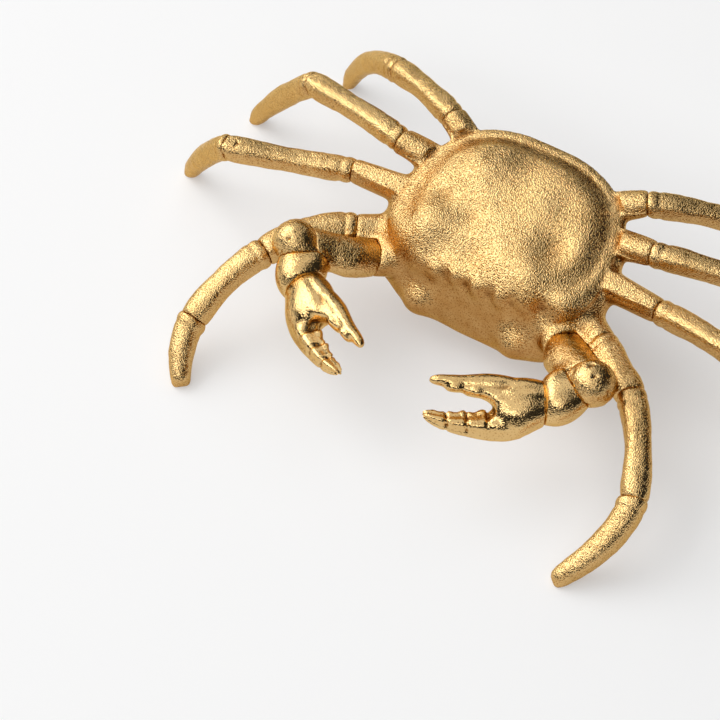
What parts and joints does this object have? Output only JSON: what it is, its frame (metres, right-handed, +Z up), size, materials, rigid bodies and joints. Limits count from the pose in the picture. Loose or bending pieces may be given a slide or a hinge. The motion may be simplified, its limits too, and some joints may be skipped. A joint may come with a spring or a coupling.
{
  "type": "crab figurine",
  "caption": "Free-standing cast-metal crab ornament with a domed hollow body, legs made in sections and open claws held in front",
  "frame": {"origin": "on the floor, under the middle of the whole crab's bounding box", "axes": "+X to the crab's left, -Y the way the crab faces, +Z up"},
  "size_m": [0.2556, 0.1576, 0.054],
  "materials": {
    "cast_gold": "sand-cast, polished, gold-coloured"
  },
  "bodies": {
    "root": {"carapace": "cast_gold", "left_claw_arm": "cast_gold", "left_claw_elbow": "cast_gold", "left_claw_hand": "cast_gold", "left_claw_wrist": "cast_gold", "left_front_leg_shin": "cast_gold", "left_front_leg_thigh": "cast_gold", "left_front_leg_toe": "cast_gold", "left_rear_leg_thigh": "cast_gold", "left_rear_leg_toe": "cast_gold", "left_second_leg_thigh": "cast_gold", "left_second_leg_toe": "cast_gold", "left_third_leg_thigh": "cast_gold", "left_third_leg_toe": "cast_gold", "right_claw_arm": "cast_gold", "right_claw_elbow": "cast_gold", "right_claw_hand": "cast_gold", "right_claw_wrist": "cast_gold", "right_front_leg_shin": "cast_gold", "right_front_leg_thigh": "cast_gold", "right_front_leg_toe": "cast_gold", "right_rear_leg_thigh": "cast_gold", "right_rear_leg_toe": "cast_gold", "right_second_leg_thigh": "cast_gold", "right_second_leg_toe": "cast_gold", "right_third_leg_thigh": "cast_gold", "right_third_leg_toe": "cast_gold", "underbody": "cast_gold"}
  },
  "joints": []
}
